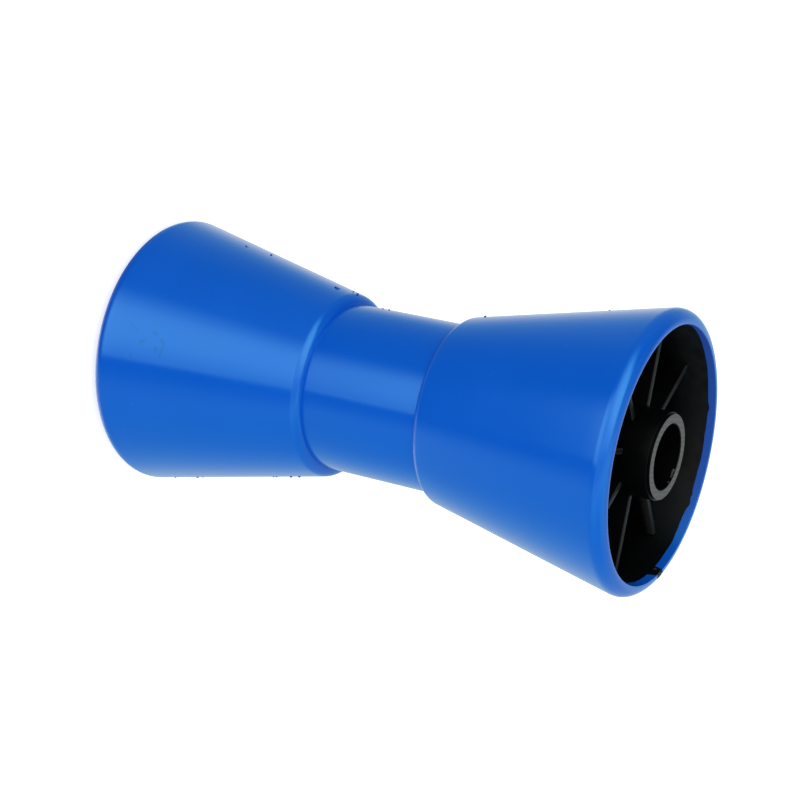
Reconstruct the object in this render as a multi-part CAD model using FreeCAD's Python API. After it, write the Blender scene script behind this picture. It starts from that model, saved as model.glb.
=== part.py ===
import FreeCAD, Part
import math
import os

# A boat trailer keel roller: a soft hourglass tread moulded over a hard core with ribbed, cupped ends.
# The roller stands on one end, with +Z along its bore and the origin on the bore's axis at mid-length.
# A rib points along +X, and both ends are alike. All sizes are in millimetres.

# Tread
tread_length = 198.0       # from one soft end to the other
end_diameter = 98.0        # where the cone's line meets the end plane, before the rim is rounded
waist_diameter = 59.0      # the straight middle that carries the keel
waist_length = 44.0        # between the two shoulders
step_height = 2.85         # how far each shoulder stands above the waist
shoulder_radius = 3.9      # rounding of the shoulder's edge
tread_wall = 3.0           # thickness of the soft skin, square to its surface
lip_depth = 2.7            # how far the skin turns in over the core's end
lip_land = 0.55            # flat ring left on the lip between its sharp mouth and the rounded rim

# Core
core_wall = 2.6            # thickness of the hard shell under the skin
web_thickness = 4.0        # disc across the middle that joins hub and shell
bore_diameter = 22.0       # runs on the bracket's pin
bore_chamfer = 0.25        # broken edge at each mouth of the bore
hub_wall = 3.75            # at the hub's end, before its draft
hub_draft = 0.5            # degrees, the hub grows towards the web
thrust_height = 1.0        # sawn ring on the hub's end that stands proud of the soft end
thrust_inset = 0.5         # how much smaller that ring's radius is than the hub's
rib_count = 8              # on each side of the web
rib_thickness = 1.9        # at the rib's free edge
rib_draft = 0.5            # degrees on each side, the rib grows towards the web
rib_setback = 8.7          # from the soft end's plane down to the ribs' free edges

# Break in the lip, on the upper end, where the core's edge shows through
break_azimuth = 22.0       # degrees from +X
break_width = 6.8          # along the lip's lower edge
break_tip_width = 1.6      # where the break reaches the mouth
break_depth = 1.2          # into the lip from the cup's wall

half_length = tread_length / 2
end_radius = end_diameter / 2
waist_radius = waist_diameter / 2
waist_half = waist_length / 2
bore_radius = bore_diameter / 2
hub_radius = bore_radius + hub_wall
thrust_radius = hub_radius - thrust_inset
slope = (end_radius - waist_radius - step_height) / (half_length - waist_half)
taper = math.atan(slope)
cup_offset = tread_wall + core_wall
core_end = half_length - lip_depth
rib_end = half_length - rib_setback
web_half = web_thickness / 2
axis_z = FreeCAD.Vector(0, 0, 1)
origin = FreeCAD.Vector(0, 0, 0)


def point(radius, height):
    """A point of a profile that is later turned about Z."""
    return FreeCAD.Vector(radius, 0, height)


def cone_radius(height, offset=0.0):
    """Radius of the tapered side at a height, with its surface moved inwards by the offset."""
    return end_radius - slope * (half_length - height) - offset / math.cos(taper)


def flip(vector):
    """The same point on the lower half of the roller."""
    return FreeCAD.Vector(vector.x, vector.y, -vector.z)


def line(start, end):
    return Part.makeLine(start, end)


def arc(start, middle, end):
    return Part.Arc(start, middle, end).toShape()


def step_corner(offset):
    """Square corner of the step on a hidden surface, which lies inside the outer one by the offset."""
    height = waist_half + offset
    return point(cone_radius(height, offset), height)


def mirrored(edges):
    """The edges on the upper half's side, the waist between them, and their images on the lower half."""
    waist_top = edges[-1].lastVertex(True).Point
    waist = line(waist_top, flip(waist_top))
    return edges + [waist] + [edge.mirror(origin, axis_z) for edge in reversed(edges)]


def outer_side(start):
    """Edges of the outer surface, from a point on its upper taper to the mirrored point below.

    The shoulder's rounding runs from the taper to the waist or, where it is small, to the step's flat face.
    """
    centre_height = waist_half + shoulder_radius
    centre_radius = cone_radius(centre_height) - shoulder_radius / math.cos(taper)
    cut_off = max(waist_radius - centre_radius, 0.0)
    start_angle = math.pi / 2 + taper
    end_angle = math.pi - math.asin(cut_off / shoulder_radius)
    places = []
    for angle in (start_angle, (start_angle + end_angle) / 2, end_angle):
        radius = centre_radius + shoulder_radius * math.sin(angle)
        places.append(point(radius, centre_height + shoulder_radius * math.cos(angle)))
    edges = [line(start, places[0]), arc(*places)]
    if not cut_off:
        edges.append(line(places[2], point(waist_radius, waist_half)))
    return mirrored(edges)


def hidden_side(start, offset):
    """Edges of a square-stepped surface inside the outer one, from its upper taper to the mirrored point."""
    corner = step_corner(offset)
    foot = point(waist_radius - offset, corner.z)
    return mirrored([line(start, corner), line(corner, foot)])


def turned(edges):
    """Solid turned about Z from the edges of a closed profile."""
    face = Part.Face(Part.Wire(Part.sortEdges(edges)[0]))
    return face.revolve(origin, axis_z, 360)


def polygon(points):
    """Edges of the closed outline through the points."""
    return [line(a, b) for a, b in zip(points, points[1:] + points[:1])]


def make_tread():
    """Soft skin of even thickness, wrapped over both ends of the core."""
    mouth = point(cone_radius(half_length, cup_offset), half_length)
    land = mouth + FreeCAD.Vector(lip_land, 0, 0)
    rim_radius = (end_radius - land.x) / (slope + 1 / math.cos(taper))
    centre_height = half_length - rim_radius
    rim = []
    for share in (0.5, 1.0):
        angle = share * (math.pi / 2 + taper)
        rim.append(point(land.x + rim_radius * math.sin(angle), centre_height + rim_radius * math.cos(angle)))
    lip_foot = point(cone_radius(core_end, cup_offset), core_end)
    core_corner = point(cone_radius(core_end, tread_wall), core_end)
    lip = [line(core_corner, lip_foot), line(lip_foot, mouth), line(mouth, land), arc(land, *rim)]
    lower_lip = [edge.mirror(origin, axis_z) for edge in lip]
    return turned(hidden_side(core_corner, tread_wall) + lip + outer_side(rim[1]) + lower_lip)


def make_core_body():
    """Shell, web and hub in one turned profile."""
    root_radius = hub_radius + (half_length - web_half) * math.tan(math.radians(hub_draft))
    top_of_core = half_length + thrust_height
    outer_corner = point(cone_radius(core_end, tread_wall), core_end)
    inner_corner = point(cone_radius(core_end, cup_offset), core_end)
    cup_corner = step_corner(cup_offset)
    cup_foot = point(waist_radius - cup_offset, cup_corner.z)
    web_outer = point(waist_radius - cup_offset, web_half)
    web_inner = point(root_radius, web_half)
    hub_end = point(hub_radius, half_length)
    ring_foot = point(thrust_radius, half_length)
    ring_top = point(thrust_radius, top_of_core)
    chamfer_top = point(bore_radius + bore_chamfer, top_of_core)
    chamfer_foot = point(bore_radius, top_of_core - bore_chamfer)
    inside = [outer_corner, inner_corner, cup_corner, cup_foot, web_outer, web_inner, hub_end, ring_foot,
              ring_top, chamfer_top, chamfer_foot]
    upper = [line(a, b) for a, b in zip(inside, inside[1:])]
    lower = [edge.mirror(origin, axis_z) for edge in upper]
    bore = line(chamfer_foot, flip(chamfer_foot))
    return turned(hidden_side(outer_corner, tread_wall) + upper + [bore] + lower)


def make_rib():
    """One drafted rib along +X above the web, from inside the hub's wall to inside the shell."""
    growth = (rib_end - web_half) * math.tan(math.radians(rib_draft))
    free_half = rib_thickness / 2
    inner = bore_radius + hub_wall / 2
    corners = [(-free_half, rib_end), (free_half, rib_end), (free_half + growth, 0), (-free_half - growth, 0)]
    section = [FreeCAD.Vector(inner, side, height) for side, height in corners]
    blade = Part.Face(Part.Wire(polygon(section))).extrude(FreeCAD.Vector(end_radius, 0, 0))
    half_wall = tread_wall + core_wall / 2
    corner = step_corner(half_wall)
    waist = waist_radius - half_wall
    wall_end = point(cone_radius(rib_end, half_wall), rib_end)
    inside = [point(0, 0), point(waist, 0), point(waist, corner.z), corner, wall_end, point(0, rib_end)]
    return blade.common(turned(polygon(inside)))


def make_ribs():
    rib = make_rib()
    ribs = []
    for side in (0, 180):
        for number in range(rib_count):
            copy = rib.copy()
            copy.rotate(origin, FreeCAD.Vector(1, 0, 0), side)
            copy.rotate(origin, axis_z, number * 360.0 / rib_count)
            ribs.append(copy)
    return ribs


def make_break(tread):
    """The piece of the lip's place that the core's edge fills, cut out of the tread."""
    wall = cone_radius(half_length, cup_offset)
    foot_half = break_width / 2
    corners = [(-foot_half, core_end), (foot_half, core_end), (foot_half, half_length),
               (foot_half - break_tip_width, half_length)]
    outline = [FreeCAD.Vector(0, side, height) for side, height in corners]
    wedge = Part.Face(Part.Wire(polygon(outline))).extrude(FreeCAD.Vector(wall + break_depth, 0, 0))
    wedge.rotate(origin, axis_z, break_azimuth)
    return wedge.common(tread)


def save(shape, name):
    """Write one sub-part and print what it holds."""
    solid = shape.removeSplitter()
    solids = solid.Solids
    result = solids[0] if len(solids) == 1 else Part.makeCompound(solids)
    result.exportStep(os.path.join("parts", name + ".step"))
    volume = round(result.Volume / 1000, 2)
    print(name, "solids", len(solids), "volume cm3", volume, "valid", result.isValid())


os.makedirs("parts", exist_ok=True)
whole_tread = make_tread()
lip_break = make_break(whole_tread)
save(whole_tread.cut(lip_break), "tread")
save(make_core_body().multiFuse(make_ribs() + [lip_break]), "core")
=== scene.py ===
import math

import bmesh
import bpy
from mathutils import Matrix, Vector, noise


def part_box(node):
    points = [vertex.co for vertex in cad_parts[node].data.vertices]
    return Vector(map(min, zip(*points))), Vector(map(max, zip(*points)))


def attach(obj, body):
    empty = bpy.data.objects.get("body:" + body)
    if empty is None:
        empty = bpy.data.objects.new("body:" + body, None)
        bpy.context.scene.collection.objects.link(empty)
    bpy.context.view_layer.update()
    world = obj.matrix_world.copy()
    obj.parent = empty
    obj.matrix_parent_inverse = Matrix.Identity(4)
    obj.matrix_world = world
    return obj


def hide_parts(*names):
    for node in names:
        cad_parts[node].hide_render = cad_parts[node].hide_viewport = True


# A boat trailer keel roller, standing on one end: a hard black core with ribbed, cupped ends,
# and a soft blue hourglass tread moulded over it. Metres, with +Z along the bore.
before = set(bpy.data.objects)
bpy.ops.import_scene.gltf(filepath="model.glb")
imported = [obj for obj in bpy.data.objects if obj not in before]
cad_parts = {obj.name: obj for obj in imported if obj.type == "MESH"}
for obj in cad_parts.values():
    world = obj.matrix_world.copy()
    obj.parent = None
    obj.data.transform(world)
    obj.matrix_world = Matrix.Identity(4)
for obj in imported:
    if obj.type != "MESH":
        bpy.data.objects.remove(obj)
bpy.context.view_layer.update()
mm = 0.001
scene = bpy.context.scene

# The camera looks from well above the floor and is rolled on its side, so that the standing roller lies
# across the picture with its upper end to the right, a little above the middle of what the lens covers.
camera_place = Vector((-0.04868, -0.57209, 0.30789))
camera_aim = Vector((0.04125, -0.00192, 0.00873))
camera_right = Vector((-0.17358, 0.47890, 0.86054))
camera_data = bpy.data.cameras.new("camera")
camera_data.lens = 83.95
camera_data.shift_y = 0.15
camera_data.sensor_width = 36.0
camera_data.clip_start = 0.01
camera = bpy.data.objects.new("camera", camera_data)
scene.collection.objects.link(camera)
backward = (camera_place - camera_aim).normalized()
upward = backward.cross(camera_right).normalized()
turn = Matrix((upward.cross(backward), upward, backward)).transposed()
camera.matrix_world = Matrix.Translation(camera_place) @ turn.to_4x4()
scene.camera = camera

# Core: one injection moulding in hard black polypropylene. A shell, a disc across its middle and a bored
# hub come out of the tool with eight ribs at each end, and the hub is then sawn to length.
core_low, core_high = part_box("core")
hub_top = core_high[2]
soft_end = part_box("tread")[1][2]
waist_radius = 29.5 * mm
waist_half = 22.0 * mm
step_height = 2.85 * mm
end_radius = 49.0 * mm
skin = 3.0 * mm
shell = 2.6 * mm
lip_depth = 2.7 * mm
web_half = 2.0 * mm
bore_radius = 11.0 * mm
bore_edge = 0.25 * mm
hub_radius = 14.75 * mm
hub_draft = math.radians(0.5)
ring_radius = 14.25 * mm
rib_setback = 8.7 * mm
rib_half = 0.95 * mm
rib_draft = math.radians(0.5)
rib_edge = 0.28 * mm
rib_count = 8
web_fillet = 1.2 * mm
step_rounding = 0.6 * mm
cut_edge = 0.1 * mm
wall_margin = 0.3 * mm
turning_steps = 480

slope = (end_radius - waist_radius - step_height) / (soft_end - waist_half)
taper = math.atan(slope)
core_end = soft_end - lip_depth
rib_end = soft_end - rib_setback
cup_inset = skin + shell
rib_reach = end_radius - slope * rib_setback - cup_inset / math.cos(taper) - wall_margin
mouth_radius = end_radius - cup_inset / math.cos(taper)


def cone_radius(height, inset=0.0):
    """Radius of the tapered side at a height, on the surface that lies inside it by the inset."""
    return end_radius - slope * (soft_end - height) - inset / math.cos(taper)


def node(tree, kind, sockets=None, **settings):
    """A node with its settings, and each named or numbered socket given a value or another node's output."""
    made = tree.nodes.new(kind)
    for name, value in settings.items():
        setattr(made, name, value)
    for name, value in (sockets or {}).items():
        if isinstance(value, bpy.types.NodeSocket):
            tree.links.new(value, made.inputs[name])
        else:
            made.inputs[name].default_value = value
    return made


def maths(tree, operation, *values):
    """Output of one Math node."""
    return node(tree, "ShaderNodeMath", dict(enumerate(values)), operation=operation).outputs[0]


def new_tree(name, kind, inputs, outputs):
    """A node group with its named sockets, and its input and output nodes."""
    tree = bpy.data.node_groups.new(name, kind)
    for label, socket, value in inputs:
        item = tree.interface.new_socket(label, in_out="INPUT", socket_type=socket)
        if value is not None:
            item.default_value = value
    for label, socket in outputs:
        tree.interface.new_socket(label, in_out="OUTPUT", socket_type=socket)
    return tree, tree.nodes.new("NodeGroupInput"), tree.nodes.new("NodeGroupOutput")


# A crumb of flash is a ball drawn out by a random share in each direction, with a surface as rough as this.
crumb_slimmest, crumb_widest = 0.6, 1.3
crumb_grain = 2600.0


def stored(tree, name):
    """A named number that the points carry."""
    carried = node(tree, "GeometryNodeInputNamedAttribute", {"Name": name}, data_type="FLOAT")
    return carried.outputs["Attribute"]


def store(tree, geometry, name, value):
    """A geometry with a named number given to its points."""
    sockets = {"Geometry": geometry, "Name": name, "Value": value}
    return node(tree, "GeometryNodeStoreNamedAttribute", sockets, data_type="FLOAT").outputs[0]


def fused(tree, *solids):
    """One solid made of several."""
    union = node(tree, "GeometryNodeMeshBoolean", operation="UNION", solver="MANIFOLD")
    for solid in solids:
        tree.links.new(solid, union.inputs["Mesh 2"])
    return union.outputs["Mesh"]


def finished(tree, given, result, geometry):
    """The tree, ended by setting the material that it is given."""
    done = node(tree, "GeometryNodeSetMaterial", {"Geometry": geometry, "Material": given.outputs["Finish"]})
    tree.links.new(done.outputs[0], result.inputs[0])
    return tree


def turning_tree():
    """Turns the closed profile drawn by an object's own points about Z, and carries its lip mark along."""
    tree, given, result = new_tree("turned_profile", "GeometryNodeTree", [
        ("Profile", "NodeSocketGeometry", None), ("Steps", "NodeSocketInt", 64),
        ("Finish", "NodeSocketMaterial", None)], [("Moulding", "NodeSocketGeometry")])
    profile, steps = given.outputs["Profile"], given.outputs["Steps"]
    count = node(tree, "GeometryNodeAttributeDomainSize", {"Geometry": profile}).outputs["Point Count"]
    across = maths(tree, "ADD", count, 1.0)
    around = maths(tree, "ADD", steps, 1.0)
    grid = node(tree, "GeometryNodeMeshGrid", {"Vertices X": across, "Vertices Y": around}).outputs["Mesh"]
    index = node(tree, "GeometryNodeInputIndex").outputs[0]
    row = maths(tree, "FLOOR", maths(tree, "DIVIDE", maths(tree, "ADD", index, 0.5), around))
    column = maths(tree, "SUBTRACT", index, maths(tree, "MULTIPLY", row, around))
    point = maths(tree, "FLOORED_MODULO", row, count)
    swept = maths(tree, "MULTIPLY", maths(tree, "FLOORED_MODULO", column, steps), math.tau)
    angle = maths(tree, "DIVIDE", swept, steps)
    spot = node(tree, "GeometryNodeInputPosition").outputs[0]
    drawn = node(tree, "GeometryNodeSampleIndex", data_type="FLOAT_VECTOR")
    tree.links.new(profile, drawn.inputs["Geometry"])
    tree.links.new(spot, drawn.inputs["Value"])
    tree.links.new(point, drawn.inputs["Index"])
    turned = node(tree, "ShaderNodeVectorRotate", {"Vector": drawn.outputs[0], "Angle": angle},
                  rotation_type="Z_AXIS")
    placed = node(tree, "GeometryNodeSetPosition", {"Geometry": grid, "Position": turned.outputs[0]})
    share = node(tree, "GeometryNodeSampleIndex",
                 {"Geometry": profile, "Value": stored(tree, "lip"), "Index": point}, data_type="FLOAT")
    marked = store(tree, placed.outputs[0], "lip", share.outputs[0])
    closed = node(tree, "GeometryNodeMergeByDistance", {"Geometry": marked, "Distance": 1e-6})
    real = node(tree, "GeometryNodeRealizeInstances", {"Geometry": closed.outputs[0]})
    return finished(tree, given, result, real.outputs[0])


def rib_tree():
    """Sets copies of one rib round both ends of a moulding and fuses them with it."""
    tree, given, result = new_tree("ribbed_ends", "GeometryNodeTree", [
        ("Moulding", "NodeSocketGeometry", None), ("Rib", "NodeSocketObject", None),
        ("Ribs", "NodeSocketInt", 8), ("Finish", "NodeSocketMaterial", None)],
        [("Ribbed", "NodeSocketGeometry")])
    ribs = given.outputs["Ribs"]
    both = maths(tree, "MULTIPLY", ribs, 2.0)
    points = node(tree, "GeometryNodeMeshLine", {"Count": both, "Offset": (0, 0, 0)}).outputs[0]
    index = node(tree, "GeometryNodeInputIndex").outputs[0]
    lower = maths(tree, "GREATER_THAN", index, maths(tree, "SUBTRACT", ribs, 0.5))
    over = maths(tree, "MULTIPLY", lower, math.pi)
    angle = maths(tree, "DIVIDE", maths(tree, "MULTIPLY", index, math.tau), ribs)
    euler = node(tree, "ShaderNodeCombineXYZ", {"X": over, "Z": angle}).outputs[0]
    turn_to = node(tree, "FunctionNodeEulerToRotation", {"Euler": euler}).outputs[0]
    rib = node(tree, "GeometryNodeObjectInfo", {"Object": given.outputs["Rib"]}).outputs["Geometry"]
    copies = node(tree, "GeometryNodeInstanceOnPoints",
                  {"Points": points, "Instance": rib, "Rotation": turn_to})
    real = node(tree, "GeometryNodeRealizeInstances", {"Geometry": copies.outputs[0]})
    ribbed = fused(tree, real.outputs[0], given.outputs["Moulding"])
    return finished(tree, given, result, ribbed)


def crumb_tree():
    """Sets ragged crumbs at another object's points, as large as those say, and fuses them to a moulding."""
    tree, given, result = new_tree("flash_crumbs", "GeometryNodeTree", [
        ("Moulding", "NodeSocketGeometry", None), ("Places", "NodeSocketObject", None),
        ("Seed", "NodeSocketInt", 0), ("Ragged", "NodeSocketFloat", 0.0),
        ("Finish", "NodeSocketMaterial", None)],
        [("Moulding", "NodeSocketGeometry")])

    def scattered(low, high):
        """A random vector for each crumb, with all its parts between two values."""
        sockets = {0: (low, low, low), 1: (high, high, high), "Seed": given.outputs["Seed"]}
        return node(tree, "FunctionNodeRandomValue", sockets, data_type="FLOAT_VECTOR").outputs[0]

    places = node(tree, "GeometryNodeObjectInfo", {"Object": given.outputs["Places"]}).outputs["Geometry"]
    ball = node(tree, "GeometryNodeMeshIcoSphere", {"Radius": 1.0, "Subdivisions": 3}).outputs["Mesh"]
    turn_to = node(tree, "FunctionNodeEulerToRotation", {"Euler": scattered(0.0, math.tau)}).outputs[0]
    scaled = node(tree, "ShaderNodeVectorMath",
                  {0: scattered(crumb_slimmest, crumb_widest), "Scale": stored(tree, "size")},
                  operation="SCALE").outputs[0]
    copies = node(tree, "GeometryNodeInstanceOnPoints",
                  {"Points": places, "Instance": ball, "Rotation": turn_to, "Scale": scaled})
    real = node(tree, "GeometryNodeRealizeInstances", {"Geometry": copies.outputs[0]})
    spot = node(tree, "GeometryNodeInputPosition").outputs[0]
    cloud = node(tree, "ShaderNodeTexNoise", {"Vector": spot, "Scale": crumb_grain, "Detail": 1.0})
    lean = node(tree, "ShaderNodeVectorMath", {0: cloud.outputs["Color"], 1: (0.5, 0.5, 0.5)},
                operation="SUBTRACT").outputs[0]
    push = node(tree, "ShaderNodeVectorMath", {0: lean, "Scale": given.outputs["Ragged"]}, operation="SCALE")
    ragged = node(tree, "GeometryNodeSetPosition", {"Geometry": real.outputs[0], "Offset": push.outputs[0]})
    tagged = store(tree, ragged.outputs[0], "crumb", 1.0)
    return finished(tree, given, result, fused(tree, tagged, given.outputs["Moulding"]))


def add_modifier(piece, tree, **values):
    """Puts a tree on a piece, with its inputs given by name."""
    modifier = piece.modifiers.new(tree.name, "NODES")
    modifier.node_group = tree
    identifiers = {item.name: item.identifier for item in tree.interface.items_tree if item.in_out == "INPUT"}
    for name, value in values.items():
        modifier[identifiers[name]] = value


def make_plain(piece):
    """Works the modifiers of a piece into one plain mesh and takes them off."""
    bpy.context.view_layer.update()
    drawn = piece.evaluated_get(bpy.context.evaluated_depsgraph_get())
    mesh = bpy.data.meshes.new_from_object(drawn)
    piece.modifiers.clear()
    piece.data = mesh


def new_piece(name, vertices, edges=(), faces=()):
    mesh = bpy.data.meshes.new(name)
    mesh.from_pydata(vertices, edges, faces)
    piece = bpy.data.objects.new(name, mesh)
    scene.collection.objects.link(piece)
    return piece


def draw_profile(name, points):
    """An object whose points are a closed outline of (radius, height, lip mark) in the XZ plane."""
    count = len(points)
    piece = new_piece(name, [(radius, 0, height) for radius, height, _ in points],
                      [(i, (i + 1) % count) for i in range(count)])
    marks = piece.data.attributes.new("lip", "FLOAT", "POINT").data
    marks.foreach_set("value", [mark for _, _, mark in points])
    return piece


def arc_points(centre, radius, start, end, steps):
    """Points of an arc in the XZ plane, its angles counted from +Z towards the outside."""
    points = []
    for step in range(steps + 1):
        angle = start + (end - start) * step / steps
        points.append((centre[0] + radius * math.sin(angle), centre[1] + radius * math.cos(angle), 0.0))
    return points


def straight(start, end, steps):
    """Points between two places, both left out."""
    return [tuple(a + (b - a) * step / steps for a, b in zip(start, end)) for step in range(1, steps)]


def crumb_places(name, crumbs):
    """An object with a point for each crumb, given as radius, azimuth in degrees, height and size."""
    points = []
    for radius, azimuth, height, _ in crumbs:
        angle = math.radians(azimuth)
        points.append((radius * math.cos(angle), radius * math.sin(angle), height))
    places = new_piece(name, points)
    sizes = places.data.attributes.new("size", "FLOAT", "POINT").data
    sizes.foreach_set("value", [size for _, _, _, size in crumbs])
    return places


def finish_normals(piece, sharp_over):
    """Smooth shading with sharp edges over an angle, and faces turned outwards."""
    mesh = piece.data
    body = bmesh.new()
    body.from_mesh(mesh)
    bmesh.ops.recalc_face_normals(body, faces=body.faces)
    body.to_mesh(mesh)
    body.free()
    mesh.polygons.foreach_set("use_smooth", [True] * len(mesh.polygons))
    mesh.set_sharp_from_angle(angle=math.radians(sharp_over))


# Where the soft lip stops short on the cup's wall, as a rise over its mean line: it is a little ragged, runs
# high over a broad stretch of one side, has small nicks, and is torn through with its rim at one place, which
# a tooth of the core fills. Each nick is an azimuth and a width in degrees and a height in millimetres.
lip_up = 0.08 * mm
lip_ragged = 0.1 * mm
lip_high_side = 180.0, 28.0, 1.1
lip_nicks = [(176.0, 6.0, 0.4), (136.0, 8.0, 0.12), (112.3, 2.2, 0.5), (108.0, 6.0, 0.12), (90.0, 5.0, 0.15),
             (70.8, 1.2, 0.45), (66.0, 2.4, 0.62), (57.0, 5.0, -0.25), (45.0, 3.5, 0.2), (-64.0, 2.4, 0.4)]
tear_foot, tear_tip, tear_end = 16.9, 19.8, 26.1
tear_reach = 2.62 * mm
tear_gather = 0.05
tear_lean = 0.5 / mm
tooth_foot, tooth_full = tear_tip + 1.5, tear_tip + 3.0
tooth_sink = 0.03
tooth_spread = 0.85
tooth_lap = 0.2 * mm
tooth_side = [(1.4 * mm, 1.4 * mm), (2.1 * mm, 0.55 * mm)]
rim_sink = 0.8


def ramp(value, low, high):
    """Smooth step from 0 at low to 1 at high."""
    share = min(max((value - low) / (high - low), 0.0), 1.0)
    return share * share * (3 - 2 * share)


def lip_rise(azimuth, end, far_end):
    """Height of the soft lip's ragged edge over its mean line, at an azimuth in degrees."""
    angle = math.radians(azimuth)
    spot = Vector((math.cos(angle), math.sin(angle), end * 3.0))
    rise = lip_ragged * (noise.noise(spot * 9.0) + 0.7 * noise.noise(spot * 31.0)) + lip_up
    for place, width, height in [lip_high_side] + (lip_nicks if end > 0 else []):
        away = (azimuth - place + 180) % 360 - 180
        rise += height * mm * math.exp(-(away / width) ** 2)
    if end > 0:
        bite = ramp(azimuth, tear_foot, tear_tip) * (1 - ramp(azimuth, far_end - tear_gather, far_end))
        rise += bite * (tear_reach - rise)
    return rise


def shift_lip(piece, sink, spread):
    """Moves a turned piece's marked points along the cup's wall to the lip's ragged edge.

    At the tear, what lies above the core's end sinks by a share. Where the whole end takes part in the rise,
    the rings under its corner also go out and up to the rim's surface. The tear's far end is upright.
    """
    mesh = piece.data
    marks = mesh.attributes["lip"].data
    under_corner = cone_radius(core_end, skin) - tooth_lap
    for vertex in mesh.vertices:
        azimuth = math.degrees(math.atan2(vertex.co.y, vertex.co.x))
        radius = vertex.co.xy.length
        on_end = vertex.co.z > core_end - 0.001 * mm and radius > rib_reach
        at_end = vertex.co.z > core_end - 2.5 * tooth_lap and radius > rib_reach
        out, up = 0.0, 0.0
        if spread and at_end and not on_end and radius > under_corner:
            out, up = tooth_side[0 if vertex.co.z > core_end - 1.5 * tooth_lap else 1]
        far_end = tear_end + tear_lean * max(radius + out - mouth_radius, 0.0)
        if at_end and abs(azimuth - far_end) < 360 / turning_steps:
            gathered = far_end + math.copysign(tear_gather, azimuth - far_end)
            vertex.co.rotate(Matrix.Rotation(math.radians(gathered - azimuth), 3, "Z"))
            azimuth = gathered
        torn = ramp(azimuth, tooth_foot, tooth_full) * (1 - ramp(azimuth, far_end - tear_gather, far_end))
        wider = 1 + out * torn / vertex.co.xy.length
        vertex.co = (vertex.co.x * wider, vertex.co.y * wider, vertex.co.z + up * torn)
        mark = marks[vertex.index].value
        if on_end:
            mark += max(spread - mark, 0.0) * torn
        if mark > 0:
            end = 1 if vertex.co.z > 0 else -1
            rise = mark * lip_rise(azimuth, end, far_end)
            wider = 1 + slope * rise / vertex.co.xy.length
            vertex.co = (vertex.co.x * wider, vertex.co.y * wider, vertex.co.z + end * rise)
        if on_end:
            vertex.co.z -= (vertex.co.z - core_end) * sink * torn


# The lip's place is shared by the core and the tread: how much of the ragged rise each ring of points takes.
lip_rings = [(0.0, 1.0), (0.45 * mm, 0.85), (1.0 * mm, 0.35), (1.6 * mm, 0.0)]


def lip_foot():
    """Points of the core's end face, from the cup's wall outwards to the corner under the skin."""
    wall = cone_radius(core_end, cup_inset)
    points = [(wall + away, core_end, mark) for away, mark in lip_rings]
    return points + [(cone_radius(core_end, skin), core_end, 0.0)]


def hidden_side():
    """Points of the core's outside under the skin, from the upper end to the waist."""
    corner_height = waist_half + skin
    corner = (cone_radius(corner_height, skin), corner_height, 0.0)
    foot = (waist_radius - skin, corner_height, 0.0)
    drops = [tooth_lap * number for number in (1, 2, 3)]
    under = [(cone_radius(core_end - drop, skin), core_end - drop, 0.0) for drop in drops]
    return under + straight(under[-1], corner, 5) + [corner, foot] + straight(foot, (foot[0], 0.0, 0.0), 3)


def mirrored(upper):
    """The upper half's points, then their images below in reverse order."""
    return upper + [(radius, -height, mark) for radius, height, mark in reversed(upper)]


def core_profile():
    """Points of the core's section: outside, end, cup, web, hub and bore, and their images below."""
    corner_height = waist_half + cup_inset
    cup_corner = cone_radius(corner_height, cup_inset)
    waist_wall = waist_radius - cup_inset
    root = hub_radius + (soft_end - web_half) * math.tan(hub_draft)
    step_wall = arc_points((cup_corner - web_fillet, corner_height + web_fillet), web_fillet,
                           math.pi / 2 + taper, math.pi, 5)
    step_edge = arc_points((waist_wall + step_rounding, corner_height - step_rounding), step_rounding,
                           0.0, -math.pi / 2, 4)
    web_wall = arc_points((waist_wall - web_fillet, web_half + web_fillet), web_fillet,
                          math.pi / 2, math.pi, 5)
    web_hub = arc_points((root + web_fillet, web_half + web_fillet), web_fillet,
                         math.pi, 1.5 * math.pi, 5)
    hub_top_edge = arc_points((hub_radius - cut_edge, soft_end - cut_edge), cut_edge, math.pi / 2, 0.0, 3)
    ring_edge = arc_points((ring_radius - cut_edge, hub_top - cut_edge), cut_edge, math.pi / 2, 0.0, 3)
    face = straight((ring_radius - cut_edge, hub_top, 0.0), (bore_radius + bore_edge, hub_top, 0.0), 8)
    inner = lip_foot()[::-1]
    wall = straight(inner[-1], step_wall[0], 12)
    hub = straight(web_hub[-1], hub_top_edge[0], 8)
    foot = [(ring_radius, soft_end, 0.0)]
    bore = [(bore_radius + bore_edge, hub_top, 0.0), (bore_radius, hub_top - bore_edge, 0.0)]
    bore += straight(bore[-1], (bore_radius, 0.0, 0.0), 6)
    outside = hidden_side()[::-1]
    upper = outside + inner + wall + step_wall + step_edge + web_wall + web_hub + hub + hub_top_edge + foot
    return mirrored(upper + ring_edge + face + bore)


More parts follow.
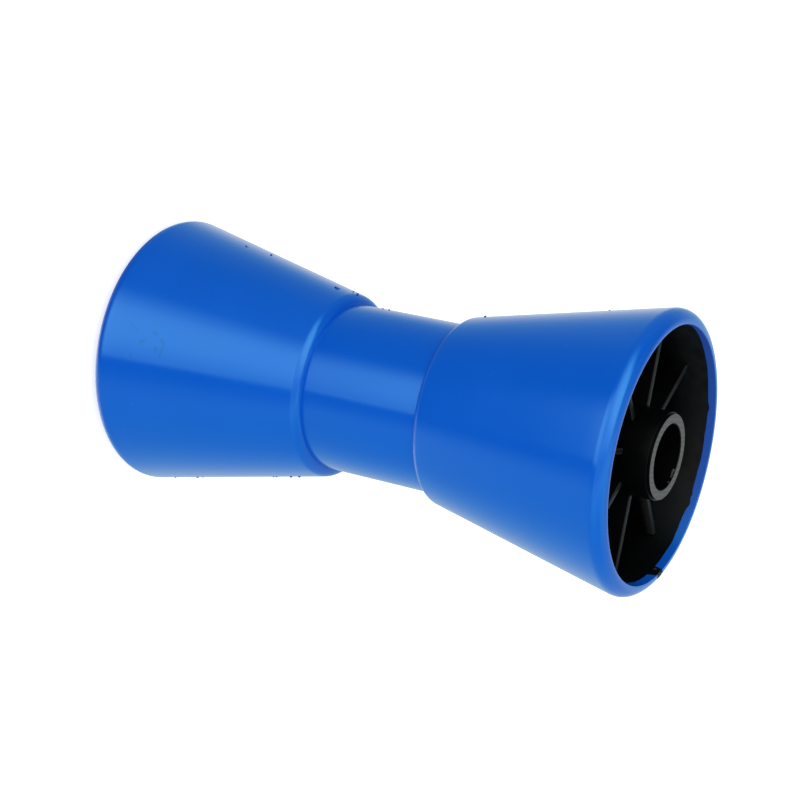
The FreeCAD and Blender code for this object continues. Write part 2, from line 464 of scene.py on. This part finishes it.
def make_rib():
    """One drafted rib along +X from inside the hub to the shell, with its free edges broken."""
    middle = skin + shell / 2
    corner_height = waist_half + middle
    inner = (bore_radius + hub_radius) / 2
    nearby = 1e-7
    outline = [(inner, 0.0), (waist_radius - middle, 0.0), (waist_radius - middle, corner_height),
               (cone_radius(corner_height, middle), corner_height), (cone_radius(rib_end, middle), rib_end),
               (inner, rib_end)]

    def half_width(height):
        return rib_half + (rib_end - height) * math.tan(rib_draft)

    def is_free(edge):
        """Whether an edge runs along the rib on its free side."""
        start, end = (vertex.co for vertex in edge.verts)
        on_top = abs(start.z - rib_end) < nearby and abs(end.z - rib_end) < nearby
        return on_top and abs(start.y - end.y) < nearby

    count = len(outline)
    sides = [[(radius, side * half_width(height), height) for radius, height in outline] for side in (-1, 1)]
    faces = [tuple(range(count)), tuple(range(2 * count - 1, count - 1, -1))]
    for start in range(count):
        after = (start + 1) % count
        faces.append((start, start + count, after + count, after))
    rib = new_piece("rib_pattern", sides[0] + sides[1], (), faces)
    body = bmesh.new()
    body.from_mesh(rib.data)
    free = [edge for edge in body.edges if is_free(edge)]
    bmesh.ops.bevel(body, geom=free, offset=rib_edge, segments=3, profile=0.5, affect="EDGES")
    bmesh.ops.recalc_face_normals(body, faces=body.faces)
    body.to_mesh(rib.data)
    body.free()
    return rib


def product(tree, *values):
    """Output of the Math nodes that multiply some values one after another."""
    total = values[0]
    for value in values[1:]:
        total = maths(tree, "MULTIPLY", total, value)
    return total


def object_place(tree):
    """Where on its object a surface lies, in metres."""
    return node(tree, "ShaderNodeTexCoord").outputs["Object"]


def clouds(tree, place, scale, detail):
    """Soft noise from 0 to 1."""
    return node(tree, "ShaderNodeTexNoise", {"Vector": place, "Scale": scale, "Detail": detail}).outputs[0]


def turned_back(tree, place, azimuth):
    """A place turned about Z so that an azimuth in degrees comes to lie on +X."""
    back = product(tree, maths(tree, "RADIANS", azimuth), -1.0)
    turned = node(tree, "ShaderNodeVectorRotate", {"Vector": place, "Angle": back}, rotation_type="Z_AXIS")
    return turned.outputs[0]


def flattened(tree, place):
    """A place or direction without its part along Z."""
    level = node(tree, "ShaderNodeVectorMath", {0: place, 1: (1.0, 1.0, 0.0)}, operation="MULTIPLY")
    return level.outputs[0]


def from_axis(tree, place):
    """Distance of a place from the bore's axis."""
    reach = node(tree, "ShaderNodeVectorMath", {0: flattened(tree, place)}, operation="LENGTH")
    return reach.outputs["Value"]


def surface_group():
    """Height of a moulded skin: broad unevenness from shrinkage, and the fine grain of the tool."""
    tree, given, result = new_tree("moulded_skin", "ShaderNodeTree", [
        ("Wave Size", "NodeSocketFloat", 0.02), ("Wave Height", "NodeSocketFloat", 0.0),
        ("Grain Size", "NodeSocketFloat", 0.001), ("Grain Height", "NodeSocketFloat", 0.0)],
        [("Height", "NodeSocketFloat")])
    place = object_place(tree)
    wave = clouds(tree, place, maths(tree, "DIVIDE", 1.0, given.outputs["Wave Size"]), 1.0)
    grain = clouds(tree, place, maths(tree, "DIVIDE", 1.0, given.outputs["Grain Size"]), 2.0)
    broad = product(tree, wave, given.outputs["Wave Height"])
    fine = product(tree, grain, given.outputs["Grain Height"])
    tree.links.new(maths(tree, "ADD", broad, fine), result.inputs["Height"])
    return tree


def mark_group():
    """Mask of one mark on a turned surface, by its azimuth in degrees and height: a scuff, scratch, speck, or
    painted shade or highlight.
    """
    tree, given, result = new_tree("surface_mark", "ShaderNodeTree", [
        ("Azimuth", "NodeSocketFloat", 0.0), ("Height", "NodeSocketFloat", 0.0),
        ("Length", "NodeSocketFloat", 0.01), ("Width", "NodeSocketFloat", 0.001),
        ("Turn", "NodeSocketFloat", 0.0), ("Breakup", "NodeSocketFloat", 0.0)],
        [("Mask", "NodeSocketFloat")])
    place = object_place(tree)
    home = turned_back(tree, place, given.outputs["Azimuth"])
    parts = node(tree, "ShaderNodeSeparateXYZ", {"Vector": home})
    along = maths(tree, "SUBTRACT", parts.outputs["Z"], given.outputs["Height"])
    around = parts.outputs["Y"]
    turn_by = maths(tree, "RADIANS", given.outputs["Turn"])
    cosine = maths(tree, "COSINE", turn_by)
    sine = maths(tree, "SINE", turn_by)
    down_it = maths(tree, "ADD", product(tree, along, cosine), product(tree, around, sine))
    across_it = maths(tree, "SUBTRACT", product(tree, around, cosine), product(tree, along, sine))
    down_it = maths(tree, "DIVIDE", product(tree, down_it, 2.0), given.outputs["Length"])
    across_it = maths(tree, "DIVIDE", product(tree, across_it, 2.0), given.outputs["Width"])
    squares = maths(tree, "ADD", product(tree, down_it, down_it), product(tree, across_it, across_it))
    cloud = clouds(tree, place, 900.0, 3.0)
    ragged = product(tree, maths(tree, "SUBTRACT", cloud, 0.5), given.outputs["Breakup"])
    reach = maths(tree, "ADD", maths(tree, "SQRT", squares), ragged)
    mask = node(tree, "ShaderNodeMapRange", {"Value": reach, "From Min": 1.0, "From Max": 0.55},
                interpolation_type="SMOOTHSTEP")
    front = maths(tree, "GREATER_THAN", parts.outputs["X"], 0.0)
    tree.links.new(product(tree, mask.outputs[0], front), result.inputs["Mask"])
    return tree


def speck_group():
    """Mask of fine specks scattered over a surface, in a share of cells of one size."""
    tree, given, result = new_tree("specks", "ShaderNodeTree", [
        ("Size", "NodeSocketFloat", 0.002), ("Share", "NodeSocketFloat", 0.1)], [("Mask", "NodeSocketFloat")])
    smallest, spread = 0.03, 0.12
    scale = maths(tree, "DIVIDE", 1.0, given.outputs["Size"])
    cells = node(tree, "ShaderNodeTexVoronoi", {"Vector": object_place(tree), "Scale": scale})
    pick = node(tree, "ShaderNodeSeparateColor", {"Color": cells.outputs["Color"]}).outputs["Red"]
    chosen = maths(tree, "LESS_THAN", pick, given.outputs["Share"])
    radius = product(tree, pick, maths(tree, "DIVIDE", spread, given.outputs["Share"]))
    inside = maths(tree, "LESS_THAN", cells.outputs["Distance"], maths(tree, "ADD", radius, smallest))
    tree.links.new(product(tree, chosen, inside), result.inputs["Mask"])
    return tree


def cup_side_group():
    """Mask of one side of a cup, by its middle's azimuth in degrees: the core's dust, the lip's painted
    shade.
    """
    tree, given, result = new_tree("dust_and_shade_side", "ShaderNodeTree", [("Azimuth", "NodeSocketFloat", 0.0)],
                                   [("Mask", "NodeSocketFloat")])
    flat = flattened(tree, turned_back(tree, object_place(tree), given.outputs["Azimuth"]))
    towards = node(tree, "ShaderNodeVectorMath", {0: flat}, operation="NORMALIZE").outputs[0]
    share = node(tree, "ShaderNodeSeparateXYZ", {"Vector": towards}).outputs["X"]
    mask = node(tree, "ShaderNodeMapRange", {"Value": share, "From Min": 0.2, "From Max": 0.75},
                interpolation_type="SMOOTHSTEP")
    tree.links.new(mask.outputs[0], result.inputs["Mask"])
    return tree


turned_profile = turning_tree()
ribbed_ends = rib_tree()
flash_crumbs = crumb_tree()
moulded_skin = surface_group()
surface_mark = mark_group()
specks = speck_group()
dust_and_shade_side = cup_side_group()
dust_and_shade_azimuth = 120.0


def group(tree, shared, **values):
    """A shared group placed in a material with its own values. Returns its output."""
    made = node(tree, "ShaderNodeGroup", node_tree=shared)
    for name, value in values.items():
        made.inputs[name.replace("_", " ")].default_value = value
    return made.outputs[0]


def mixed(tree, mask, below, above):
    """Colour or value that goes from below to above as the mask does."""
    made = node(tree, "ShaderNodeMix", {"Factor": mask}, data_type="RGBA")
    slots = [made.inputs[6], made.inputs[7]]
    for slot, value in zip(slots, (below, above)):
        if isinstance(value, bpy.types.NodeSocket):
            tree.links.new(value, slot)
        else:
            slot.default_value = value
    return made.outputs[2]


def new_material(name):
    material = bpy.data.materials.new(name)
    material.use_nodes = True
    tree = material.node_tree
    return material, tree, tree.nodes["Principled BSDF"]


# Its moulded black, the dust on it, painted highlights on the ribs, a torn strip of skin by the tear painted
# dark as in shade, and the hub's sawn ends.
moulded_black = 0.0006, 0.0006, 0.0006, 1.0
speck_grey = 0.03, 0.03, 0.03, 1.0
settled_grey = 0.011, 0.011, 0.0115, 1.0
# Painted highlights on the ribs' edges and on one rib's side, and a torn strip painted dark as in shade
rib_edge_highlight_grey = 0.024, 0.024, 0.025, 1.0
rib_side_highlight_grey = 0.016, 0.016, 0.017, 1.0
strip_shaded_blue = 0.026, 0.030, 0.060, 1.0
sawn_dark = 0.092, 0.092, 0.094, 1.0
sawn_pale = 0.155, 0.155, 0.157, 1.0
sawn_depth = 0.02 * mm
rib_highlight_depth = 0.45 * mm
dust_foot, dust_top = 84.0 * mm, 94.0 * mm
wall_band = 4.0 * mm
rib_margin = 0.5 * mm


def core_finish():
    """Black polypropylene: tool grain, pale dust, painted highlights on the rib edges and, on the hub's ends,
    saw marks.
    """
    material, tree, shader = new_material("black_polypropylene")
    shader.inputs["IOR"].default_value = 1.5
    shader.inputs["Specular IOR Level"].default_value = 0.08
    place = object_place(tree)
    parts = node(tree, "ShaderNodeSeparateXYZ", {"Vector": place})
    height = maths(tree, "ABSOLUTE", parts.outputs["Z"])
    away = from_axis(tree, place)
    on_wall = maths(tree, "GREATER_THAN", away, rib_reach - wall_band)
    rib_middle = (rib_reach + hub_radius) / 2
    on_rib = maths(tree, "COMPARE", away, rib_middle, rib_reach - rib_middle - rib_margin)
    cloud = clouds(tree, place, 260.0, 4.0)

    # Tool's black with specks, and dust on one side of the wall
    dust = group(tree, specks, Size=0.0035, Share=0.05)
    black = mixed(tree, product(tree, dust, 0.2), moulded_black, speck_grey)
    near_lip = node(tree, "ShaderNodeMapRange",
                    {"Value": height, "From Min": dust_foot, "From Max": dust_top})
    settled = product(tree, group(tree, dust_and_shade_side, Azimuth=dust_and_shade_azimuth), near_lip.outputs[0])
    settled = product(tree, settled, product(tree, on_wall, cloud))
    black = mixed(tree, settled, black, settled_grey)

    # Painted highlights along the ribs' top edges
    pitch = math.tau / rib_count
    azimuth = maths(tree, "ARCTAN2", parts.outputs["Y"], parts.outputs["X"])
    from_rib = maths(tree, "FLOORED_MODULO", maths(tree, "ADD", azimuth, pitch / 2), pitch)
    from_rib = maths(tree, "SUBTRACT", from_rib, pitch / 2)
    aside = maths(tree, "ABSOLUTE", product(tree, away, maths(tree, "SINE", from_rib)))
    near_edge = node(tree, "ShaderNodeMapRange",
                     {"Value": aside, "From Min": 0.25 * mm, "From Max": 0.75 * mm,
                      "To Min": 0.3, "To Max": 1.0}).outputs[0]
    rib_top = maths(tree, "COMPARE", height, rib_end, rib_highlight_depth)
    rib_edge_highlight = product(tree, rib_top, on_rib, near_edge)
    black = mixed(tree, product(tree, rib_edge_highlight, 0.8), black, rib_edge_highlight_grey)

    # Strip of torn skin below the tear, painted dark as in shade, and a painted highlight on one rib's side
    shaded_strip = group(tree, surface_mark, Azimuth=24.1, Height=97.0 * mm, Length=1.5 * mm, Width=1.4 * mm,
                  Turn=30.0, Breakup=0.6)
    black = mixed(tree, product(tree, shaded_strip, on_wall), black, strip_shaded_blue)
    # Painted highlight: the upper part of one rib's side in lighter grey
    rib_side_highlight = group(tree, surface_mark, Azimuth=45.0, Height=rib_end, Length=8.0 * mm, Width=3.4 * mm,
                      Breakup=0.5)
    black = mixed(tree, product(tree, rib_side_highlight, on_rib, 0.8), black, rib_side_highlight_grey)

    # Sawn ends and burrs
    burr = node(tree, "ShaderNodeAttribute", attribute_name="crumb").outputs["Fac"]
    sawn = maths(tree, "GREATER_THAN", height, hub_top - sawn_depth)
    cut = maths(tree, "MAXIMUM", sawn, product(tree, burr, 0.7))
    saw = node(tree, "ShaderNodeTexWave", {"Vector": place, "Scale": 190.0, "Distortion": 2.0, "Detail": 2.0})
    stripes = product(tree, saw.outputs["Fac"], product(tree, cloud, 0.7))
    grey = mixed(tree, stripes, sawn_dark, sawn_pale)
    tree.links.new(mixed(tree, cut, black, grey), shader.inputs["Base Color"])

    smear = node(tree, "ShaderNodeMapRange", {"Value": cloud, "To Min": 0.3, "To Max": 0.44}).outputs[0]
    rough = maths(tree, "ADD", smear, product(tree, settled, 0.3))
    rough = maths(tree, "MAXIMUM", rough, product(tree, cut, 0.6))
    tree.links.new(rough, shader.inputs["Roughness"])
    skin_height = group(tree, moulded_skin, Wave_Size=0.012, Wave_Height=0.5, Grain_Size=0.0006,
                        Grain_Height=0.12)
    saw_height = product(tree, saw.outputs["Fac"], cut, 0.6)
    relief = maths(tree, "ADD", skin_height, saw_height)
    bump = node(tree, "ShaderNodeBump", {"Height": relief, "Strength": 0.5, "Distance": 0.0001})
    tree.links.new(bump.outputs[0], shader.inputs["Normal"])
    return material


core_black = core_finish()
core = draw_profile("core_moulding", core_profile())
add_modifier(core, turned_profile, Steps=turning_steps, Finish=core_black)
make_plain(core)
shift_lip(core, tooth_sink, tooth_spread)
rib = make_rib()
add_modifier(core, ribbed_ends, Rib=rib, Ribs=rib_count, Finish=core_black)
make_plain(core)
bpy.data.objects.remove(rib)
burrs = [(ring_radius + 0.1 * mm, 123.3, hub_top - 0.45 * mm, 0.42 * mm),
         (ring_radius, 101.0, hub_top - 0.4 * mm, 0.32 * mm),
         (bore_radius, 65.0, hub_top - 0.7 * mm, 0.4 * mm),
         (bore_radius - 0.2 * mm, 61.0, hub_top - 0.8 * mm, 0.42 * mm),
         (bore_radius, 56.5, hub_top - 0.7 * mm, 0.36 * mm),
         (bore_radius, 52.0, hub_top - 0.7 * mm, 0.3 * mm),
         (bore_radius, 38.4, hub_top - 0.5 * mm, 0.28 * mm)]
saw_burrs = crumb_places("saw_burrs", burrs)
add_modifier(core, flash_crumbs, Places=saw_burrs, Seed=3, Ragged=0.3 * mm, Finish=core_black)
make_plain(core)
bpy.data.objects.remove(saw_burrs)
finish_normals(core, 32.0)
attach(core, "root")
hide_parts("core")

# Tread: soft glossy blue PVC, moulded over the core and turned in over both of its ends as a lip. Its two
# mould halves meet on a line along each side, where crumbs of flash are left.
shoulder_radius = 3.9 * mm
lip_land = 0.55 * mm
mouth_edge = 0.15 * mm
ripple_pitch = 1.5 * mm
ripple_depth = 0.02 * mm
ripple_fades, ripple_ends = 1.2, 1.6
wall_steps = 5
rim_lack = 0.4 * mm
rim_lack_azimuth = 22.0
rim_lack_width = 26.0
rim_foot, rim_full = 86.0 * mm, 94.0 * mm
rim_start, rim_outer = 44.5 * mm, 47.5 * mm

# Handling marks on its outside, each an azimuth in degrees, then height, length and width in millimetres and
# how far it is turned off the bore's direction in degrees.
tread_scuffs = [(-101.0, -85.0, 10.6, 0.35, 34.0), (-100.0, -76.6, 2.6, 1.2, 20.0),
                (-97.2, -73.4, 2.8, 1.6, 30.0), (-95.2, -80.5, 3.4, 1.6, -25.0),
                (-93.0, -75.2, 1.6, 2.6, 0.0), (-92.6, -73.0, 1.0, 8.0, 10.0),
                (-88.5, -83.9, 0.8, 2.2, 15.0), (-110.3, -91.4, 0.8, 0.8, 0.0),
                (-86.1, -7.6, 0.9, 0.7, 0.0), (-106.2, 21.6, 0.7, 0.5, 0.0)]
tread_scratches = [(-116.1, 49.4, 2.6, 0.45, -30.0), (-134.0, 71.3, 1.3, 0.5, 50.0),
                   (-103.8, 39.2, 0.9, 0.5, -30.0), (-65.9, -82.7, 0.8, 0.8, 0.0)]

# Crumbs of flash along its two mould lines, each an azimuth in degrees, then height and size in millimetres.
flash_top = [(-171.3, -69.8, 0.42), (-171.0, -69.2, 0.34), (-176.0, -61.1, 0.52), (-170.3, -30.5, 0.5),
             (-170.0, -29.8, 0.44), (-171.0, -29.2, 0.36), (-178.5, -26.0, 0.3), (-178.5, -24.1, 0.36),
             (-178.0, -23.8, 0.34), (-176.5, -12.5, 0.3), (-177.0, -10.2, 0.32), (-172.5, 28.4, 0.4),
             (-178.5, 71.0, 0.32)]
flash_bottom = [(-3.2, -87.0, 0.3), (-3.2, -77.3, 0.34), (-3.4, -74.9, 0.3), (-4.6, -44.5, 0.34),
                (-4.8, -43.1, 0.3), (-5.0, -37.2, 0.36), (-5.0, -33.8, 0.36)]


def side_radius(height):
    """Radius of the tread's outside at a height that is clear of its shoulders' rounding."""
    return waist_radius if abs(height) < waist_half else cone_radius(abs(height))


def shrink_rim(piece):
    """Makes the upper rim a little less full over a stretch beside the tear."""
    for vertex in piece.data.vertices:
        azimuth = math.degrees(math.atan2(vertex.co.y, vertex.co.x))
        radius = vertex.co.xy.length
        share = ramp(vertex.co.z, rim_foot, rim_full) * ramp(radius, rim_start, rim_outer)
        share *= math.exp(-((azimuth - rim_lack_azimuth) / rim_lack_width) ** 2)
        narrower = 1 - rim_lack * share / radius
        vertex.co = (vertex.co.x * narrower, vertex.co.y * narrower, vertex.co.z)


def tread_profile():
    """Points of the tread's section: under side, lip, mouth, rippled rim, side, shoulder and waist."""
    land = mouth_radius + lip_land
    rim_radius = (end_radius - land) / (slope + 1 / math.cos(taper))
    rim = []
    rounding = arc_points((land, soft_end - rim_radius), rim_radius, 0.0, math.pi / 2 + taper, 28)
    for radius, height, mark in rounding:
        tilt = math.atan2(radius - land, height - soft_end + rim_radius)
        ripple = ripple_depth * (1 - math.cos(math.tau * tilt * rim_radius / ripple_pitch)) / 2
        ripple *= 1 - ramp(tilt, ripple_fades, ripple_ends)
        rim.append((radius - ripple * math.sin(tilt), height - ripple * math.cos(tilt), mark))
    centre_height = waist_half + shoulder_radius
    centre = cone_radius(centre_height) - shoulder_radius / math.cos(taper)
    shoulder_foot = math.pi - math.asin(max(waist_radius - centre, 0.0) / shoulder_radius)
    shoulder = arc_points((centre, centre_height), shoulder_radius, math.pi / 2 + taper, shoulder_foot, 22)
    side = straight(rim[-1], shoulder[0], 14)
    waist = straight(shoulder[-1], (shoulder[-1][0], 0.0, 0.0), 6)
    foot = lip_foot()
    wall = straight((foot[0][0], foot[0][1], 0.0), (mouth_radius, soft_end - mouth_edge, 0.0), wall_steps)
    lip = [(radius, height, 1 - number / wall_steps) for number, (radius, height, _) in enumerate(wall, 1)]
    edge = arc_points((mouth_radius + mouth_edge, soft_end - mouth_edge), mouth_edge, -math.pi / 2, 0.0, 4)
    return mirrored(hidden_side()[::-1] + foot[::-1] + lip + edge + rim + side + shoulder + waist)


# Its two tones of blue, then how dust and painted shade on one side of the lip's inner wall, scuffs,
# scratches and painted shade on the crumbs of flash change them.
blue_deep = 0.0018, 0.090, 0.530, 1.0
blue_light = 0.0022, 0.097, 0.565, 1.0
blue_dust_and_shade = 0.013, 0.056, 0.360, 1.0
blue_scuffed = 0.001, 0.055, 0.300, 1.0
blue_scratched = 0.012, 0.140, 0.680, 1.0
blue_crumb_shade = 0.0012, 0.020, 0.130, 1.0
gloss_tint = 0.33, 1.0, 1.0, 1.0
mouth_band = 2.0 * mm


def tread_finish():
    """Blue PVC: glossy and a little uneven, with handling marks near the lower end and on the upper cone."""
    material, tree, shader = new_material("blue_soft_pvc")
    shader.inputs["IOR"].default_value = 1.5
    shader.inputs["Specular Tint"].default_value = gloss_tint
    place = object_place(tree)
    cloud = clouds(tree, place, 38.0, 3.0)
    blue = mixed(tree, cloud, blue_deep, blue_light)
    from_waist = maths(tree, "ABSOLUTE", node(tree, "ShaderNodeSeparateXYZ", {"Vector": place}).outputs["Z"])
    within = maths(tree, "LESS_THAN", from_axis(tree, place), mouth_radius)
    in_mouth = product(tree, within, maths(tree, "GREATER_THAN", from_waist, core_end - mouth_band))
    # Painted shade: one side of the lip's inner wall is a darker, greyer blue, and duller
    lip_dust_and_shade = product(tree, in_mouth, group(tree, dust_and_shade_side, Azimuth=dust_and_shade_azimuth))
    blue = mixed(tree, lip_dust_and_shade, blue, blue_dust_and_shade)
    for marks, breakup, strength, colour in ((tread_scuffs, 0.9, 0.55, blue_scuffed),
                                             (tread_scratches, 0.5, 0.6, blue_scratched)):
        for azimuth, height, length, width, turned in marks:
            mark = group(tree, surface_mark, Azimuth=azimuth, Height=height * mm, Length=length * mm,
                         Width=width * mm, Turn=turned, Breakup=breakup)
            blue = mixed(tree, product(tree, mark, strength), blue, colour)
    # Painted shade: the crumbs of flash are a darker blue
    crumb = node(tree, "ShaderNodeAttribute", attribute_name="crumb").outputs["Fac"]
    blue = mixed(tree, product(tree, crumb, 0.8), blue, blue_crumb_shade)
    tree.links.new(blue, shader.inputs["Base Color"])
    rough = node(tree, "ShaderNodeMapRange", {"Value": cloud, "To Min": 0.12, "To Max": 0.19}).outputs[0]
    rough = maths(tree, "ADD", rough, product(tree, lip_dust_and_shade, 0.35))
    tree.links.new(rough, shader.inputs["Roughness"])
    skin_height = group(tree, moulded_skin, Wave_Size=0.016, Wave_Height=0.6, Grain_Size=0.0009,
                        Grain_Height=0.03)
    bump = node(tree, "ShaderNodeBump", {"Height": skin_height, "Strength": 0.4, "Distance": 0.0001})
    tree.links.new(bump.outputs[0], shader.inputs["Normal"])
    return material


tread_blue = tread_finish()
tread = draw_profile("tread_skin", tread_profile())
add_modifier(tread, turned_profile, Steps=turning_steps, Finish=tread_blue)
make_plain(tread)
shift_lip(tread, rim_sink, 0.0)
shrink_rim(tread)
flash = [(side_radius(height * mm), azimuth, height * mm, size * mm)
         for azimuth, height, size in flash_top + flash_bottom]
flash_places = crumb_places("flash_places", flash)
add_modifier(tread, flash_crumbs, Places=flash_places, Seed=5, Ragged=0.4 * mm, Finish=tread_blue)
make_plain(tread)
bpy.data.objects.remove(flash_places)
finish_normals(tread, 32.0)
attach(tread, "root")
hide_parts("tread")

# Studio: a white floor and a bright plain room. The gloss sees the same white room behind, with the dim
# near side, the white table and the soft light that lit the roller.
floor_size = 3.0
floor_height = core_low[2]
floor_white = 0.8, 0.8, 0.8, 1.0
floor_glow = 0.6
room_light = 0.84
lamp_place = Vector((0.19, -1.79, 0.87))
lamp_size = 0.9
lamp_power = 12.0


def studio_floor():
    """A white floor that glows a little where it is seen, and that the gloss leaves out."""
    floor = new_piece("floor", [(x * floor_size, y * floor_size, floor_height) for x, y in
                                ((-1, -1), (1, -1), (1, 1), (-1, 1))], (), [(0, 1, 2, 3)])
    material = bpy.data.materials.new("white_floor")
    material.use_nodes = True
    tree = material.node_tree
    tree.nodes.clear()
    path = node(tree, "ShaderNodeLightPath")
    seen = maths(tree, "MAXIMUM", path.outputs["Is Camera Ray"],
                 maths(tree, "MAXIMUM", path.outputs["Is Glossy Ray"], path.outputs["Is Transmission Ray"]))
    paint = node(tree, "ShaderNodeBsdfDiffuse", {"Color": floor_white})
    glow = node(tree, "ShaderNodeEmission", {"Strength": product(tree, seen, floor_glow)})
    both = node(tree, "ShaderNodeAddShader", {0: paint.outputs[0], 1: glow.outputs[0]})
    node(tree, "ShaderNodeOutputMaterial", {"Surface": both.outputs[0]})
    floor.data.materials.append(material)
    floor.visible_glossy = False


def studio_room():
    """The room's light, plain for all but the gloss, which sees a pattern of patches over the whole round.

    A direction is an azimuth from the front towards +X and an elevation, both in degrees. Each patch is a
    level and the spans of azimuth or elevation over which it comes or goes.
    """
    world = bpy.data.worlds.new("room")
    scene.world = world
    world.use_nodes = True
    world.cycles.sampling_method = "NONE"
    tree = world.node_tree
    tree.nodes.clear()
    direction = node(tree, "ShaderNodeTexCoord").outputs["Generated"]
    parts = node(tree, "ShaderNodeSeparateXYZ", {"Vector": direction})
    forwards = product(tree, parts.outputs["Y"], -1.0)
    azimuth = maths(tree, "DEGREES", maths(tree, "ARCTAN2", parts.outputs["X"], forwards))
    elevation = maths(tree, "DEGREES", maths(tree, "ARCSINE", parts.outputs["Z"]))

    def step(value, low, high):
        sockets = {"Value": value, "From Min": low, "From Max": high}
        return node(tree, "ShaderNodeMapRange", sockets, interpolation_type="SMOOTHSTEP").outputs[0]

    def patch(level, *shares):
        return product(tree, level, *shares)

    def together(*patches):
        total = patches[0]
        for more in patches[1:]:
            total = maths(tree, "ADD", total, more)
        return total

    def without(share):
        return maths(tree, "SUBTRACT", 1.0, share)

    # Soft light in front with a brighter strip low down, the light above it, and the ceiling
    low_light = patch(3.0, step(azimuth, -50.0, -22.0), step(azimuth, 12.5, 10.5),
                      step(elevation, -47.5, -44.5), step(elevation, 14.0, -2.0),
                      without(patch(0.35, step(azimuth, -12.0, 10.0))),
                      together(0.6, patch(0.4, step(elevation, -31.0, -18.0))))
    hot_strip = patch(1.2, step(azimuth, -50.0, -22.0), step(azimuth, 12.5, 10.5),
                      step(elevation, -33.0, -24.0), step(elevation, -12.0, -18.0))
    high_light = patch(4.6, step(azimuth, -92.0, -66.0), step(azimuth, 16.0, -40.0),
                       step(elevation, -12.0, 34.0), step(elevation, 96.0, 52.0))
    ceiling = patch(1.1, step(elevation, 40.0, 84.0))

    # The room to the left and behind
    skewed = together(azimuth, patch(0.9, together(elevation, 30.0)))
    rear = patch(0.8, step(skewed, -62.0, -166.0), step(azimuth, 0.0, -30.0), step(elevation, 36.0, 10.0),
                 together(0.3, patch(0.7, step(elevation, -50.0, -36.0))),
                 together(0.82, patch(0.18, step(elevation, -12.0, -26.0))), step(azimuth, -180.0, -164.0))
    near = patch(0.24, step(elevation, -36.0, -8.0), step(azimuth, 6.0, -2.0), step(elevation, 44.0, 18.0),
                 step(azimuth, -180.0, -164.0))
    whiter = patch(0.7, step(azimuth, -128.0, -158.0), step(azimuth, -180.0, -170.0),
                   step(elevation, -44.0, -34.0), step(elevation, -12.0, -22.0))
    crest = patch(0.2, whiter)

    # The room to the right, the table and what lies below
    behind = step(azimuth, -164.0, -180.0)
    side = patch(0.84, together(step(azimuth, 16.0, 42.0), behind),
                 together(0.78, patch(0.22, step(azimuth, 176.0, 118.0), step(azimuth, -60.0, 0.0))))
    table = patch(0.22, step(azimuth, 82.0, 112.0), step(azimuth, 176.0, 130.0), step(elevation, 0.0, -20.0))
    front = patch(0.9, step(azimuth, -26.0, 2.0), step(azimuth, 84.0, 26.0), step(elevation, -8.0, 6.0),
                  step(elevation, 90.0, 56.0))
    under = patch(0.6, step(elevation, -42.0, -60.0),
                  together(step(azimuth, 30.0, 60.0), behind, step(elevation, -66.0, -78.0)))
    far = patch(0.4, together(step(azimuth, 150.0, 168.0), behind), step(elevation, 32.0, 14.0),
                step(elevation, -20.0, -6.0))
    seen = together(low_light, hot_strip, high_light, rear, near, side, table, front, ceiling,
                    under, far, crest)

    # How much red the gloss lacks, less so in the whiter part behind
    turned_away = maths(tree, "ABSOLUTE", together(azimuth, 12.0))
    paled = patch(0.5, step(turned_away, 25.0, 80.0),
                  together(0.45, patch(0.55, step(azimuth, 150.0, 100.0))),
                  together(0.45, patch(0.25, step(azimuth, -180.0, -168.0)),
                           patch(0.3, step(azimuth, -158.0, -136.0))),
                  step(elevation, -62.0, -40.0), without(whiter))
    path = node(tree, "ShaderNodeLightPath")
    shiny = maths(tree, "MAXIMUM", path.outputs["Is Glossy Ray"], path.outputs["Is Transmission Ray"])
    plain = together(room_light, patch(1.0 - room_light, path.outputs["Is Camera Ray"]))
    strength = node(tree, "ShaderNodeMix", {"Factor": shiny, "A": plain, "B": seen}).outputs[0]
    red = without(product(tree, paled, shiny))
    colour = node(tree, "ShaderNodeCombineColor", {"Red": red, "Green": 1.0, "Blue": 1.0}).outputs[0]
    light = node(tree, "ShaderNodeBackground", {"Color": colour, "Strength": strength})
    node(tree, "ShaderNodeOutputWorld", {"Surface": light.outputs[0]})


def studio_lamp():
    """A large soft lamp in front of the roller, left out of what the gloss sees."""
    data = bpy.data.lights.new("soft_lamp", "AREA")
    data.shape = "DISK"
    data.size = lamp_size
    data.energy = lamp_power
    lamp = bpy.data.objects.new("soft_lamp", data)
    scene.collection.objects.link(lamp)
    lamp.location = lamp_place
    lamp.rotation_euler = lamp_place.to_track_quat("Z", "Y").to_euler()
    lamp.visible_glossy = False
    lamp.visible_camera = False


studio_floor()
studio_room()
studio_lamp()
scene.view_settings.view_transform = "Standard"
